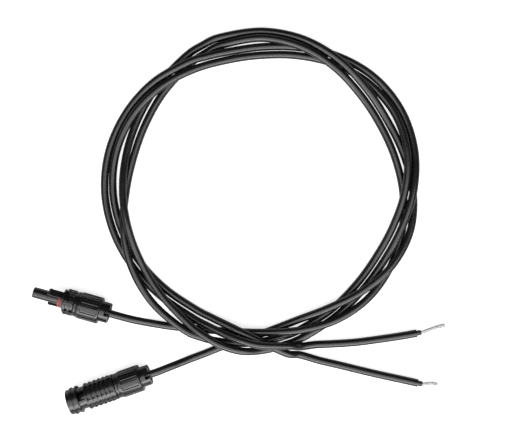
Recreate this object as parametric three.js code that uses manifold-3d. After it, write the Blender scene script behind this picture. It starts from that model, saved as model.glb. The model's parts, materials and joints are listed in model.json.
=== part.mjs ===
// A pair of solar module leads: two black single-core cables, each with a 4 mm pin solar connector
// on one end and a stripped, tinned conductor on the other, wound together into one flat loop.
// Millimetres, +Z up. The pair lies on the plane z = 0, and the origin is under the middle of the
// two connectors. Each connector is drawn along its own +X, from its mating end to its cable.
import * as THREE from 'three';
import { mergeVertices } from 'three/addons/utils/BufferGeometryUtils.js';
import Module from 'manifold-3d';

const wasm = await Module();
wasm.setup();

// ---- driving dimensions -------------------------------------------------------------------------
const SEGMENTS = 20; // facets of every turned face
const FIT_GAP = 0.3; // clearance between two pieces that touch or lie against each other

// cable
const CABLE_R = 2.75; // outer jacket
const INSULATION_R = 1.9; // inner insulation of the double-insulated core
const CONDUCTOR_R = 1.2; // 4 mm2 tinned strands

// mating interface, shared by the two connectors, from the pin outwards
const PIN_R = 2.0;
const PIN_CLEARANCE = 0.4; // filled by the spring band
const CONTACT_WALL = 0.35;
const CONTACT_PLAY = 0.25; // between the socket contact and the nose
const NOSE_WALL = 0.8;
const SLIDE_PLAY = 0.15; // between the nose and the sleeve, and between the arms and the shell
const SLEEVE_WALL = 1.5;
const ARM_PLAY = 0.25; // between the arms and the sleeve
const ARM_THICKNESS = 1.2;
const TOOTH_HEIGHT = 0.6;
const MATED_DEPTH = 21.6; // how far the nose goes into the barrel
const SOCKET_CONTACT_BORE_R = PIN_R + PIN_CLEARANCE;
const SOCKET_CONTACT_R = SOCKET_CONTACT_BORE_R + CONTACT_WALL;
const NOSE_BORE_R = SOCKET_CONTACT_R + CONTACT_PLAY;
const NOSE_R = NOSE_BORE_R + NOSE_WALL;
const SLEEVE_BORE_R = NOSE_R + SLIDE_PLAY; // the barrel's inner sleeve, round the nose
const SLEEVE_R = SLEEVE_BORE_R + SLEEVE_WALL;
const ARM_INNER_R = SLEEVE_R + ARM_PLAY;
const ARM_OUTER_R = ARM_INNER_R + ARM_THICKNESS;
const TOOTH_R = ARM_OUTER_R + TOOTH_HEIGHT;
const SHELL_BORE_R = ARM_OUTER_R + SLIDE_PLAY; // the barrel's outer shell, round the latch arms
const SEAL_RING_WIDTH = 3.6; // nose seal ring, along the axis
const SEAL_RING_FRONT = 18.5; // from the nose tip

// cable end, the same on both connectors, measured back from the contact's shoulder or from the nut
const SHOULDER_TO_NUT = 6.9;
const CRIMP_BORE_R = CONDUCTOR_R + 0.4;
const CRIMP_R = CRIMP_BORE_R + 1;
const CRIMP_DEPTH = 3.6;
const CRIMP_END = 5.5; // behind the shoulder
const CLIP_BORE_R = CRIMP_R + 0.35;
const CLIP_R = CLIP_BORE_R + 1.15;
const CLIP_LENGTH = 2.4;
const CLIP_SLIT = 1.2;
const CHAMBER_R = CLIP_R + 0.25; // round the contact's flange and clip
const FLANGE_R = CHAMBER_R - 0.65;
const FLANGE_WIDTH = 1.0;
const INSULATION_LENGTH = 1.4;
const JACKET_START = 1.2; // behind the nut's front edge
const BARE_STUB = 3.2; // inner insulation that shows past the cut jacket
const CABLE_SEAL_LENGTH = 6.4;
const CABLE_SEAL_WALL = 1.95;
const CABLE_SEAL_R = CABLE_R + CABLE_SEAL_WALL;
const SEAL_CHAMBER_R = CABLE_SEAL_R + FIT_GAP;
const SEAL_CHAMBER_START = 2.0;
const CORE_R = SEAL_CHAMBER_R + 1.9; // threaded rear core of the housing
const CORE_LENGTH = SEAL_CHAMBER_START + CABLE_SEAL_LENGTH + 2 * FIT_GAP; // behind the nut's front
const THREAD_R = CORE_R + 0.5;
const THREAD_PITCH = 1.5;
const THREAD_TURNS = 4;
const COLLET_R = CORE_R - 1;
const COLLET_BASE = 2.1;
const COLLET_LENGTH = 7.0;
const COLLET_TIP_R = CABLE_R + 1.1;
const COLLET_FINGERS = 6;
const COLLET_SLOT = 1.0;

// cap nut
const NUT_BORE_R = THREAD_R + FIT_GAP;
const NUT_BORE_DEPTH = CORE_LENGTH + 1;
const NUT_FRONT_R = NUT_BORE_R + 0.9;
const NUT_VALLEY_R = NUT_BORE_R + 1.2;
const NUT_R = NUT_VALLEY_R + 0.6;
const NUT_BEVEL = 4.5;
const NUT_PADS = 12;
const NUT_PAD_WIDTH = 2.7;
const CONE_R = CORE_R;
const CONE_END = CORE_LENGTH + FIT_GAP + COLLET_LENGTH + 0.7;
const CABLE_HOLE_R = CABLE_R + 0.55;
const CONE_TIP_R = CABLE_HOLE_R + 0.6;
const NUT_PAD_END = CONE_END;
const NUT_SHOULDER_END = NUT_PAD_END + 1.6;
const CROWN_R = CABLE_HOLE_R + 3.9;
const CROWN_LENGTH = 6.4;
const NUT_LENGTH = NUT_SHOULDER_END + CROWN_LENGTH;
const CROWN_SLOTS = 4;
const CROWN_SLOT_WIDTH = 3.8;
const CROWN_SLOT_DEPTH = 3;
const FUNNEL_R = CABLE_HOLE_R + 1.7;
const FUNNEL_DEPTH = 3;

// socket connector
const NOSE_MOUTH_R = PIN_R + FIT_GAP;
const NOSE_MOUTH_LENGTH = 1.2;
const SEAT_R = NOSE_R + 0.05; // under the seal ring
const COLLAR_START = SEAL_RING_FRONT + SEAL_RING_WIDTH + 0.5;
const COLLAR_R = ARM_OUTER_R + 0.7;
const COLLAR_RING_R = COLLAR_R + 1.6;
const COLLAR_RING_WIDTH = 1.2;
const COLLAR_RINGS = [1.2, 4.5].map((x) => COLLAR_START + x); // fronts of the two rings
const COLLAR_RIBS = 8;
const RIB_WIDTH = 1.2;
const SOCKET_NUT_START = COLLAR_START + 7.9;

// latch arms
const ARM_ROLL = 52; // degrees up from the level plane
const ARM_WIDTH = 5.0;
const ARM_START = 10.8;
const ARM_END = COLLAR_START + 3.4;
const TOOTH_REAR = 13.4;
const TOOTH_LENGTH = 2.4;
const PAD_R = COLLAR_RING_R; // press ridge
const PAD_FRONT = COLLAR_START - 0.8;
const PAD_LENGTH = 1.5;
const PAD_HALF_ANGLE = 32;

// pin connector
const MOUTH_R = SHELL_BORE_R + 1.85;
const MOUTH_RING_R = MOUTH_R + 0.75;
const CUT_R = Math.max(COLLAR_RING_R, MOUTH_RING_R) + 1; // pocket and window cutters reach past the rings
const MOUTH_RING_WIDTH = 1.2;
const MOUTH_RINGS = [3.1, 6.9];
const MOUTH_LENGTH = MOUTH_RINGS[1] + MOUTH_RING_WIDTH;
const WAIST_R = SHELL_BORE_R + 0.8; // round the latch windows
const WINDOW_ROLL = 70; // degrees up from the level plane
const WINDOW_WIDTH = ARM_WIDTH + 1.4;
const WINDOW_LENGTH = 4.8;
const SHELL_FLOOR = MATED_DEPTH - ARM_START + 2.9;
const SLEEVE_FLOOR = MATED_DEPTH + 1.6;
const LADDER_START = SHELL_FLOOR - 0.4;
const LADDER_RING_WIDTH = 1.1;
const LADDER_RINGS = [0.25, 3.75, 7.2, 10.5, 13.7, 16.6].map((x) => LADDER_START + x);
const NECK_START = LADDER_START + 18.2;
const NECK_R = CORE_R + 2.1;
const LADDER_R = NECK_R - 0.2;
const LADDER_RING_R = NECK_R + 0.35;
const POCKET_ROWS = 6; // grip pockets between the rings
const POCKET_WIDTH = 2.1;
const POCKET_DEPTH = 1.6;
const POCKET_ROLL = 35.5;
const POCKET_IN_NECK = 1.9; // how far the last row of pockets reaches into the neck
const PIN_NUT_START = NECK_START + 3.5;
const PIN_TIP = 8.0;
const PIN_HOLE_R = PIN_R + FIT_GAP;

// places on the plane: the nose tip, the barrel's mouth, and the middle of the cable loop
const SOCKET_PLACE = [-41.6, 41.2, Math.max(COLLAR_RING_R, NUT_R)];
const SOCKET_HEADING = -15.7; // degrees
const PIN_PLACE = [-16.4, -36.5, Math.max(MOUTH_RING_R, NUT_R)];
const PIN_HEADING = 19.25;
const LOOP_CENTRE = [119.6, 112.1];

// ---- solids -------------------------------------------------------------------------------------
const MERGE = 1e-4;

// A closed three.js geometry as a manifold solid with its faces pointing out.
function solidFrom(geometry) {
  const bare = geometry.clone();
  bare.deleteAttribute('normal');
  bare.deleteAttribute('uv');
  const merged = mergeVertices(bare, MERGE);
  const index = merged.index.array;
  const at = (i) => new THREE.Vector3().fromBufferAttribute(merged.attributes.position, i);
  const faces = [];
  let volume = 0;
  for (let i = 0; i < index.length; i += 3) {
    const face = [index[i], index[i + 1], index[i + 2]];
    if (new Set(face).size < 3) continue;
    volume += at(face[0]).dot(at(face[1]).cross(at(face[2])));
    faces.push(face);
  }
  if (volume < 0) faces.forEach((face) => face.reverse());
  const mesh = new wasm.Mesh({
    numProp: 3,
    vertProperties: new Float32Array(merged.attributes.position.array),
    triVerts: new Uint32Array(faces.flat()),
  });
  return new wasm.Manifold(mesh);
}

// A profile of [axial place, radius] points turned about +X. It ends on the axis, or closes on itself.
function turned(profile) {
  const points = profile.map(([x, r]) => new THREE.Vector2(r, x));
  if (profile[0][1] > 0) points.push(points[0].clone());
  return solidFrom(new THREE.LatheGeometry(points, SEGMENTS).rotateZ(-Math.PI / 2));
}

function tube(x0, x1, innerR, outerR) {
  return turned([[x0, innerR], [x1, innerR], [x1, outerR], [x0, outerR]]);
}

function rod(x0, x1, r) {
  return turned([[x0, 0], [x0, r], [x1, r], [x1, 0]]);
}

// A block from x0 to x1, width wide, between two radii, at an angle up from the level side.
function block(x0, x1, width, innerR, outerR, angle) {
  const box = new THREE.BoxGeometry(x1 - x0, outerR - innerR, width);
  box.translate((x0 + x1) / 2, (innerR + outerR) / 2, 0);
  return solidFrom(box.rotateX(THREE.MathUtils.degToRad(angle)));
}

// A part of a tube, from x0 to x1, that spans halfAngle to each side of the angle.
function arcBlock(x0, x1, innerR, outerR, angle, halfAngle) {
  const from = THREE.MathUtils.degToRad(90 - halfAngle);
  const to = THREE.MathUtils.degToRad(90 + halfAngle);
  const shape = new THREE.Shape();
  shape.absarc(0, 0, outerR, from, to, false);
  shape.absarc(0, 0, innerR, to, from, true);
  const sector = new THREE.ExtrudeGeometry(shape, {
    depth: x1 - x0,
    bevelEnabled: false,
    curveSegments: 6,
  });
  sector.rotateY(Math.PI / 2).translate(x0, 0, 0);
  return solidFrom(sector.rotateX(THREE.MathUtils.degToRad(angle)));
}

function around(count, make, start = 0) {
  return Array.from({ length: count }, (_, i) => make(start + (360 * i) / count));
}

function join(solid, others) {
  return others.reduce((sum, other) => sum.add(other), solid);
}

function cut(solid, others) {
  return others.reduce((rest, other) => rest.subtract(other), solid);
}

// ---- materials ----------------------------------------------------------------------------------
function finish(color, roughness, metalness) {
  return new THREE.MeshStandardMaterial({ color, roughness, metalness });
}

const housingPlastic = finish(0x161618, 0.45, 0);
const nutPlastic = finish(0x141416, 0.5, 0);
const cableJacket = finish(0x101012, 0.4, 0);
const insulationBlack = finish(0x0c0c0d, 0.5, 0);
const sealRed = finish(0x6e2b28, 0.6, 0);
const sealRubber = finish(0x2b2b2e, 0.7, 0);
const tinnedCopper = finish(0xd8d8d8, 0.3, 1);
const springSteel = finish(0xb8bcc0, 0.3, 1);
const tinnedStrands = finish(0xe4e2de, 0.35, 1);

// ---- nodes --------------------------------------------------------------------------------------
function part(name, solid, material) {
  const { vertProperties, triVerts } = solid.getMesh();
  const geometry = new THREE.BufferGeometry();
  geometry.setAttribute('position', new THREE.BufferAttribute(vertProperties, 3));
  geometry.setIndex(new THREE.BufferAttribute(triVerts, 1));
  geometry.computeVertexNormals();
  const mesh = new THREE.Mesh(geometry, material);
  mesh.name = name;
  return mesh;
}

// Profile points of a row of square rings that stand on a smaller radius.
function ringSteps(fronts, width, baseR, ringR) {
  return fronts.flatMap((x) => [[x, baseR], [x, ringR], [x + width, ringR], [x + width, baseR]]);
}

// Outer and inner profile of the threaded rear core behind a body of radius bodyR.
function coreProfile(nutStart, bodyR) {
  const body = nutStart - FIT_GAP;
  const ridge = THREAD_PITCH / 2;
  const fronts = Array.from({ length: THREAD_TURNS }, (_, i) => nutStart + (i + 0.5) * THREAD_PITCH);
  return [
    [body, bodyR],
    [body, CORE_R],
    ...ringSteps(fronts, ridge, CORE_R, THREAD_R),
    [nutStart + CORE_LENGTH, CORE_R],
    [nutStart + CORE_LENGTH, SEAL_CHAMBER_R],
    [nutStart + SEAL_CHAMBER_START, SEAL_CHAMBER_R],
    [nutStart + SEAL_CHAMBER_START, CHAMBER_R],
    [nutStart - SHOULDER_TO_NUT, CHAMBER_R],
  ];
}

// The flange, crimp barrel and crimp bore that both contacts end in.
function contactRear(shoulder) {
  const flange = shoulder + FIT_GAP;
  const end = shoulder + CRIMP_END;
  return [
    [flange, FLANGE_R],
    [flange + FLANGE_WIDTH, FLANGE_R],
    [flange + FLANGE_WIDTH, CRIMP_R],
    [end, CRIMP_R],
    [end, CRIMP_BORE_R],
    [end - CRIMP_DEPTH, CRIMP_BORE_R],
  ];
}

function retainingClip(shoulder) {
  const front = shoulder + FIT_GAP + FLANGE_WIDTH + FIT_GAP;
  const back = front + CLIP_LENGTH;
  const sleeve = turned([
    [front, CLIP_BORE_R],
    [back, CLIP_BORE_R],
    [back, CLIP_R],
    [back - CLIP_LENGTH / 3, CLIP_R],
    [front, CLIP_R - 2 * FIT_GAP],
  ]);
  return sleeve.subtract(block(front - 1, back + 1, CLIP_SLIT, 0, CLIP_R + 1, 90));
}

function cableSeal(nutStart) {
  const front = nutStart + SEAL_CHAMBER_START + FIT_GAP;
  const back = front + CABLE_SEAL_LENGTH;
  const groove = CABLE_SEAL_LENGTH / 5;
  const lips = [1, 3].map((i) => front + i * groove);
  const steps = lips.flatMap((x) => [
    [x, CABLE_SEAL_R],
    [x, CABLE_SEAL_R - FIT_GAP],
    [x + groove, CABLE_SEAL_R - FIT_GAP],
    [x + groove, CABLE_SEAL_R],
  ]);
  const bore = CABLE_R + FIT_GAP;
  return turned([[front, bore], [front, CABLE_SEAL_R], ...steps, [back, CABLE_SEAL_R], [back, bore]]);
}

function clampCollet(nutStart) {
  const front = nutStart + CORE_LENGTH + FIT_GAP;
  const root = front + COLLET_BASE;
  const tip = front + COLLET_LENGTH;
  const bore = CABLE_R + FIT_GAP;
  const cone = turned([
    [front, bore + FIT_GAP],
    [front, COLLET_R],
    [root, COLLET_R],
    [tip, COLLET_TIP_R],
    [tip, bore],
    [root, bore],
  ]);
  const slot = (angle) => block(root, tip + 1, COLLET_SLOT, 0, COLLET_R + 1, angle);
  return cut(cone, around(COLLET_FINGERS, slot, 30));
}

function capNut(nutStart) {
  const at = (x) => nutStart + x;
  const body = turned([
    [at(0), NUT_FRONT_R],
    [at(NUT_BEVEL), NUT_R],
    [at(NUT_BEVEL + 0.5), NUT_R],
    [at(NUT_BEVEL + 0.5), NUT_VALLEY_R],
    [at(NUT_PAD_END), NUT_VALLEY_R],
    [at(NUT_PAD_END), NUT_R],
    [at(NUT_SHOULDER_END - 0.5), NUT_R],
    [at(NUT_SHOULDER_END), NUT_R - 0.5],
    [at(NUT_SHOULDER_END), CROWN_R],
    [at(NUT_LENGTH), CROWN_R],
    [at(NUT_LENGTH), FUNNEL_R],
    [at(NUT_LENGTH - FUNNEL_DEPTH), CABLE_HOLE_R],
    [at(CONE_END), CABLE_HOLE_R],
    [at(CONE_END), CONE_TIP_R],
    [at(NUT_BORE_DEPTH), CONE_R],
    [at(NUT_BORE_DEPTH), NUT_BORE_R],
    [at(0), NUT_BORE_R],
  ]);
  const padTop = Math.sqrt(NUT_R ** 2 - (NUT_PAD_WIDTH / 2) ** 2);
  const pads = around(NUT_PADS, (angle) =>
    block(at(NUT_BEVEL), at(NUT_PAD_END + 0.5), NUT_PAD_WIDTH, NUT_VALLEY_R - 0.6, padTop, angle));
  const slots = around(CROWN_SLOTS, (angle) =>
    block(at(NUT_LENGTH - CROWN_SLOT_DEPTH), at(NUT_LENGTH + 1), CROWN_SLOT_WIDTH, 0, CROWN_R + 1, angle));
  return cut(join(body, pads), slots);
}

// The pieces that both connectors have round their cable end.
function cableEndParts(prefix, nutStart) {
  const shoulder = nutStart - SHOULDER_TO_NUT;
  const insulationFront = nutStart + JACKET_START - FIT_GAP - INSULATION_LENGTH;
  const conductorFront = shoulder + CRIMP_END - CRIMP_DEPTH + FIT_GAP;
  return [
    part(`${prefix}_retaining_clip`, retainingClip(shoulder), springSteel),
    part(
      `${prefix}_conductor_end`,
      rod(conductorFront, insulationFront - FIT_GAP, CONDUCTOR_R),
      tinnedStrands,
    ),
    part(
      `${prefix}_insulation_end`,
      rod(insulationFront, insulationFront + INSULATION_LENGTH, INSULATION_R),
      insulationBlack,
    ),
    part(`${prefix}_cable_seal`, cableSeal(nutStart), sealRubber),
    part(`${prefix}_clamp_collet`, clampCollet(nutStart), nutPlastic),
    part(`${prefix}_cap_nut`, capNut(nutStart), nutPlastic),
  ];
}

// ---- socket connector ---------------------------------------------------------------------------
const ARM_ANGLES = [ARM_ROLL, ARM_ROLL + 180];

function socketHousing() {
  const shoulder = SOCKET_NUT_START - SHOULDER_TO_NUT;
  const shell = turned([
    [0, NOSE_MOUTH_R],
    [0, NOSE_R],
    [SEAL_RING_FRONT - 0.1, NOSE_R],
    [SEAL_RING_FRONT - 0.1, SEAT_R],
    [COLLAR_START, SEAT_R],
    [COLLAR_START, COLLAR_R],
    ...ringSteps(COLLAR_RINGS, COLLAR_RING_WIDTH, COLLAR_R, COLLAR_RING_R),
    ...coreProfile(SOCKET_NUT_START, COLLAR_R),
    [shoulder, NOSE_BORE_R],
    [NOSE_MOUTH_LENGTH, NOSE_BORE_R],
    [NOSE_MOUTH_LENGTH, NOSE_MOUTH_R],
  ]);
  const ribTop = COLLAR_RING_R - 0.1;
  const collarEnd = SOCKET_NUT_START - FIT_GAP;
  const ribs = around(COLLAR_RIBS, (angle) =>
    block(COLLAR_RINGS[0] + 0.1, collarEnd, RIB_WIDTH, COLLAR_R - 1, ribTop, angle));
  const pockets = ARM_ANGLES.flatMap((angle) => [
    block(
      COLLAR_START - 1,
      ARM_END + FIT_GAP,
      ARM_WIDTH + 2 * FIT_GAP,
      ARM_INNER_R - FIT_GAP,
      CUT_R,
      angle,
    ),
    arcBlock(
      COLLAR_START - 1,
      PAD_FRONT + PAD_LENGTH + FIT_GAP,
      ARM_INNER_R - FIT_GAP,
      CUT_R,
      angle,
      PAD_HALF_ANGLE + 5,
    ),
  ]);
  return cut(join(shell, ribs), pockets);
}

// A flat spring arm with a ramped tooth near its tip and a ridge to press it by near its root.
function latchArm(angle) {
  const toothFront = TOOTH_REAR - TOOTH_LENGTH;
  const outline = new THREE.Shape([
    [ARM_START, ARM_INNER_R],
    [ARM_END, ARM_INNER_R],
    [ARM_END, ARM_OUTER_R],
    [TOOTH_REAR, ARM_OUTER_R],
    [TOOTH_REAR, TOOTH_R],
    [TOOTH_REAR - 1, TOOTH_R],
    [toothFront, ARM_OUTER_R - FIT_GAP],
    [ARM_START, ARM_OUTER_R - 2 * FIT_GAP],
  ].map(([x, r]) => new THREE.Vector2(x, r)));
  const strip = new THREE.ExtrudeGeometry(outline, { depth: ARM_WIDTH, bevelEnabled: false });
  strip.translate(0, 0, -ARM_WIDTH / 2).rotateX(THREE.MathUtils.degToRad(angle));
  const ridge = arcBlock(
    PAD_FRONT,
    PAD_FRONT + PAD_LENGTH,
    ARM_INNER_R + FIT_GAP,
    PAD_R,
    angle,
    PAD_HALF_ANGLE,
  );
  const ringRelief = tube(
    SEAL_RING_FRONT - 0.7,
    SEAL_RING_FRONT + SEAL_RING_WIDTH + FIT_GAP,
    0.5,
    SLEEVE_R + 0.45,
  );
  return solidFrom(strip).add(ridge).subtract(ringRelief);
}

function noseSealRing() {
  const innerR = SEAT_R + 0.1;
  const outerR = SLEEVE_R;
  const back = SEAL_RING_FRONT + SEAL_RING_WIDTH;
  const round = SEAL_RING_WIDTH / 5;
  return turned([
    [SEAL_RING_FRONT + round / 2, innerR],
    [SEAL_RING_FRONT, innerR + round],
    [SEAL_RING_FRONT, outerR - round],
    [SEAL_RING_FRONT + round, outerR],
    [back - round, outerR],
    [back, outerR - round],
    [back, innerR + round],
    [back - round / 2, innerR],
  ]);
}

const SOCKET_CONTACT_START = NOSE_MOUTH_LENGTH + FIT_GAP;
const SOCKET_CONTACT_BORE_END = 16;

function socketContact() {
  return turned([
    [SOCKET_CONTACT_START, SOCKET_CONTACT_BORE_R],
    [SOCKET_CONTACT_START, SOCKET_CONTACT_R],
    [SOCKET_NUT_START - SHOULDER_TO_NUT + FIT_GAP, SOCKET_CONTACT_R],
    ...contactRear(SOCKET_NUT_START - SHOULDER_TO_NUT),
    [SOCKET_NUT_START - SHOULDER_TO_NUT + CRIMP_END - CRIMP_DEPTH, 0],
    [SOCKET_CONTACT_BORE_END, 0],
    [SOCKET_CONTACT_BORE_END, SOCKET_CONTACT_BORE_R],
  ]);
}

const BAND_R = SOCKET_CONTACT_BORE_R - 0.1;
const BAND_START = 5;
const BAND_LENGTH = 5;
const BAND_LOUVRES = 8;

// A rolled band of spring leaf with a row of slots, which leaves the louvres that grip the pin.
function contactSpringBand() {
  const band = tube(BAND_START, BAND_START + BAND_LENGTH, PIN_R + 0.05, BAND_R);
  const slot = (angle) => block(BAND_START + 1, BAND_START + BAND_LENGTH - 1, 0.5, 0, BAND_R + 1, angle);
  const split = block(BAND_START - 1, BAND_START + BAND_LENGTH + 1, 0.5, 0, BAND_R + 1, 22.5);
  return cut(band, [...around(BAND_LOUVRES, slot), split]);
}

function socketConnector() {
  const connector = new THREE.Group();
  connector.add(
    part('socket_housing', socketHousing(), housingPlastic),
    ...ARM_ANGLES.map((angle, i) => part(`latch_arm_${'ab'[i]}`, latchArm(angle), housingPlastic)),
    part('nose_seal_ring', noseSealRing(), sealRed),
    part('socket_contact', socketContact(), tinnedCopper),
    part('contact_spring_band', contactSpringBand(), springSteel),
    ...cableEndParts('socket', SOCKET_NUT_START),
  );
  return connector;
}

// ---- pin connector ------------------------------------------------------------------------------
function pinHousing() {
  const shoulder = PIN_NUT_START - SHOULDER_TO_NUT;
  const sleeveFront = MATED_DEPTH - SEAL_RING_FRONT;
  const shell = turned([
    [0, SHELL_BORE_R],
    [0, MOUTH_R],
    ...ringSteps(MOUTH_RINGS, MOUTH_RING_WIDTH, MOUTH_R, MOUTH_RING_R).slice(0, -1),
    [MOUTH_LENGTH, WAIST_R],
    [LADDER_START, WAIST_R],
    [LADDER_START, LADDER_R],
    ...ringSteps(LADDER_RINGS, LADDER_RING_WIDTH, LADDER_R, LADDER_RING_R),
    [NECK_START, LADDER_R],
    [NECK_START, NECK_R],
    ...coreProfile(PIN_NUT_START, NECK_R),
    [shoulder, PIN_HOLE_R],
    [SLEEVE_FLOOR, PIN_HOLE_R],
    [SLEEVE_FLOOR, SLEEVE_BORE_R],
    [sleeveFront, SLEEVE_BORE_R],
    [sleeveFront, SLEEVE_R],
    [SHELL_FLOOR, SLEEVE_R],
    [SHELL_FLOOR, SHELL_BORE_R],
  ]);
  const windowFront = MATED_DEPTH - TOOTH_REAR;
  const windows = [WINDOW_ROLL, WINDOW_ROLL + 180].map((angle) =>
    block(windowFront, windowFront + WINDOW_LENGTH, WINDOW_WIDTH, SLEEVE_R + FIT_GAP, CUT_R, angle));
  const pocketEnds = [...LADDER_RINGS.slice(1), NECK_START + POCKET_IN_NECK];
  const pockets = LADDER_RINGS.flatMap((front, i) => around(POCKET_ROWS, (angle) =>
    block(
      front + LADDER_RING_WIDTH,
      pocketEnds[i],
      POCKET_WIDTH,
      LADDER_R - POCKET_DEPTH,
      LADDER_RING_R + 1,
      angle,
    ), POCKET_ROLL));
  return cut(shell, [...windows, ...pockets]);
}

function pinContact() {
  const shoulder = PIN_NUT_START - SHOULDER_TO_NUT;
  return turned([
    [PIN_TIP, 0],
    [PIN_TIP, PIN_R / 2],
    [PIN_TIP + 0.4, PIN_R * 0.8],
    [PIN_TIP + 1.2, PIN_R],
    [shoulder + FIT_GAP, PIN_R],
    ...contactRear(shoulder),
    [shoulder + CRIMP_END - CRIMP_DEPTH, 0],
  ]);
}

function pinConnector() {
  const connector = new THREE.Group();
  connector.add(
    part('pin_housing', pinHousing(), housingPlastic),
    part('pin_contact', pinContact(), tinnedCopper),
    ...cableEndParts('pin', PIN_NUT_START),
  );
  return connector;
}

// ---- leads --------------------------------------------------------------------------------------
// A lead leaves its connector along the axis and then lies on the plane. The loop is two turns,
// given as [degrees, radius, height] round LOOP_CENTRE, every 15 degrees and closer where leads cross.
const LEAD_SIDES = 8;
const STRAIGHT_EXIT = 6.5; // behind the nut, so that the nut can be run back along the cable
const LIE = 2.8; // height of a lead's axis where it lies on the plane

const SOCKET_LEAD = {
  head: [[29.1, 21.4, 8.2], [39.8, 18.8, 4.2], [46.9, 17.4, 3.0], [54, 16.3, LIE]],
  loop: [
    [240, 111.8, LIE], [255, 102.7, 3.4], [270, 99.4, 8.8], [285, 101.2, 9.2], [300, 104.5, 8.7],
    [315, 106.3, 5.7], [330, 105.5, 3], [345, 103, LIE], [360, 99.8, LIE], [375, 97.1, LIE],
    [390, 96.1, 3], [405, 97.6, 4.7], [420, 101.2, 8.3], [435, 105.5, 9.2], [450, 108.4, 7.1],
    [465, 108.1, 3.9], [472.5, 106.5, LIE], [480, 104.3, LIE], [495, 99.6, LIE], [510, 96.1, LIE],
    [525, 95, LIE], [540, 97.1, 3.4], [555, 101.7, 8.4], [570, 106.7, 9], [585, 110.6, 7.3],
    [600, 112.2, 8.6], [607.5, 111.6, 8], [615, 109.9, 8.3], [622.5, 108, 8.7], [630, 106.1, 6.2],
    [637.5, 104, 3.9], [645, 101.7, LIE], [660, 97.1, LIE], [675, 93.9, LIE], [690, 93.1, 3.6],
    [705, 95.5, 6.3], [720, 100.2, 9], [735, 105.6, 8.7], [750, 108.7, 5.5], [765, 107.9, 3.1],
    [780, 104.3, LIE], [795, 100, LIE], [810, 97, LIE], [825, 96.8, 3.3], [840, 99.1, 7.5],
    [855, 102.9, 9.6], [870, 106.2, 8], [885, 107.4, 4.8], [900, 106.4, 3.1], [915, 103.8, LIE],
    [930, 100.6, LIE], [945, 97.8, LIE], [960, 96.3, 3.1], [967.5, 96.4, 4.9], [975, 97.5, 8.6],
    [983, 100.7, 12.5], [990, 106, 12.2], [998.5, 115.8, 7.3],
  ],
  tail: [
    [146.4, -4.1, 3], [160.3, -8.1, LIE], [174.5, -11.4, LIE], [188.7, -14.9, LIE],
    [202.9, -18.2, LIE], [217.1, -21.3, LIE], [229.8, -24.1, LIE],
  ],
  bare: [[238.7, -24.6, 1.9], [244.2, -25.3, 1.5]],
};

const PIN_LEAD = {
  head: [[54, -11.7, 8.6], [61.2, -9.3, 5.6], [68.6, -6.7, 3.2], [78.1, -3.2, LIE], [86.6, 0.2, LIE]],
  loop: [
    [258, 110.7, LIE], [270, 100.8, LIE], [285, 94.5, 4.2], [300, 94.6, 8.4], [315, 99.3, 9.2],
    [330, 105, 9.7], [345, 108.1, 6.7], [360, 107, 3.2], [375, 103.8, LIE], [390, 102, 3.4],
    [405, 103.2, 7.7], [420, 107.1, 9.7], [435, 111.3, 7.3], [450, 113.8, 3.8], [465, 113.8, LIE],
    [472.5, 112.5, LIE], [480, 110.5, LIE], [495, 106, LIE], [510, 102.5, 3.1], [525, 100, 5.9],
    [540, 98.4, 10.5], [555, 97.8, 12.9], [570, 99.2, 9], [585, 102.1, 8.5], [600, 106.2, 10.8],
    [607.5, 108.8, 13.3], [615, 111.6, 14.6], [622.5, 113.2, 11.5], [630, 112.6, 5],
    [637.5, 110.4, LIE], [645, 107.8, 3], [660, 103, LIE], [675, 99.8, 3.1], [690, 99, 5.2],
    [705, 101.3, 9], [720, 106.2, 9.7], [735, 111.4, 6], [750, 114.3, 3.2], [765, 113.8, LIE],
    [780, 110.4, LIE], [795, 106, LIE], [810, 102.9, 3.1], [825, 102.1, 5.9], [832.5, 103.2, 7.9],
    [840, 105, 9.1], [855, 108.9, 8.3], [870, 111.7, 4.6], [885, 113, 3], [900, 112.3, LIE],
    [915, 109.9, 3], [930, 106.7, 3], [945, 103.9, LIE], [960, 102.4, 4.6], [967.5, 102.6, 7.8],
    [975, 103.7, 11.1], [983, 105.5, 16.2], [990, 107.3, 18.4], [1000, 110.1, 12.1],
  ],
  tail: [
    [146.9, 2.5, 6.2], [157.3, 3.3, 3.2], [167.4, 3.7, LIE], [178.1, 4.3, LIE], [188.7, 5.2, LIE],
    [202.9, 7.1, LIE], [217.1, 9.2, LIE], [229.1, 11.3, LIE],
  ],
  bare: [[241.2, 14.7, 1.9], [249.5, 16.9, 1.5]],
};

// A curve that is stepped evenly between its points, so that a tube along it has a ring at each one.
class PointByPointCurve extends THREE.CatmullRomCurve3 {
  getPointAt(u, target) {
    return this.getPoint(u, target);
  }

  getTangentAt(u, target) {
    return this.getTangent(u, target);
  }
}

// A plain tube of LEAD_SIDES sides along a smooth curve through the points.
function wire(points, r) {
  const section = new THREE.Shape();
  for (let i = 0; i < LEAD_SIDES; i += 1) {
    const angle = ((i + 0.5) * 2 * Math.PI) / LEAD_SIDES;
    const to = [r * Math.cos(angle), r * Math.sin(angle)];
    if (i === 0) section.moveTo(...to);
    else section.lineTo(...to);
  }
  section.closePath();
  const path = new PointByPointCurve(points, false, 'catmullrom', 0.5);
  return solidFrom(new THREE.ExtrudeGeometry(section, { steps: points.length - 1, extrudePath: path }));
}

// Points along a connector's axis, at the given distances from its mating end.
function alongAxis(place, heading, distances) {
  const turn = THREE.MathUtils.degToRad(heading);
  return distances.map((d) =>
    new THREE.Vector3(place[0] + d * Math.cos(turn), place[1] + d * Math.sin(turn), place[2]));
}

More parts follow.
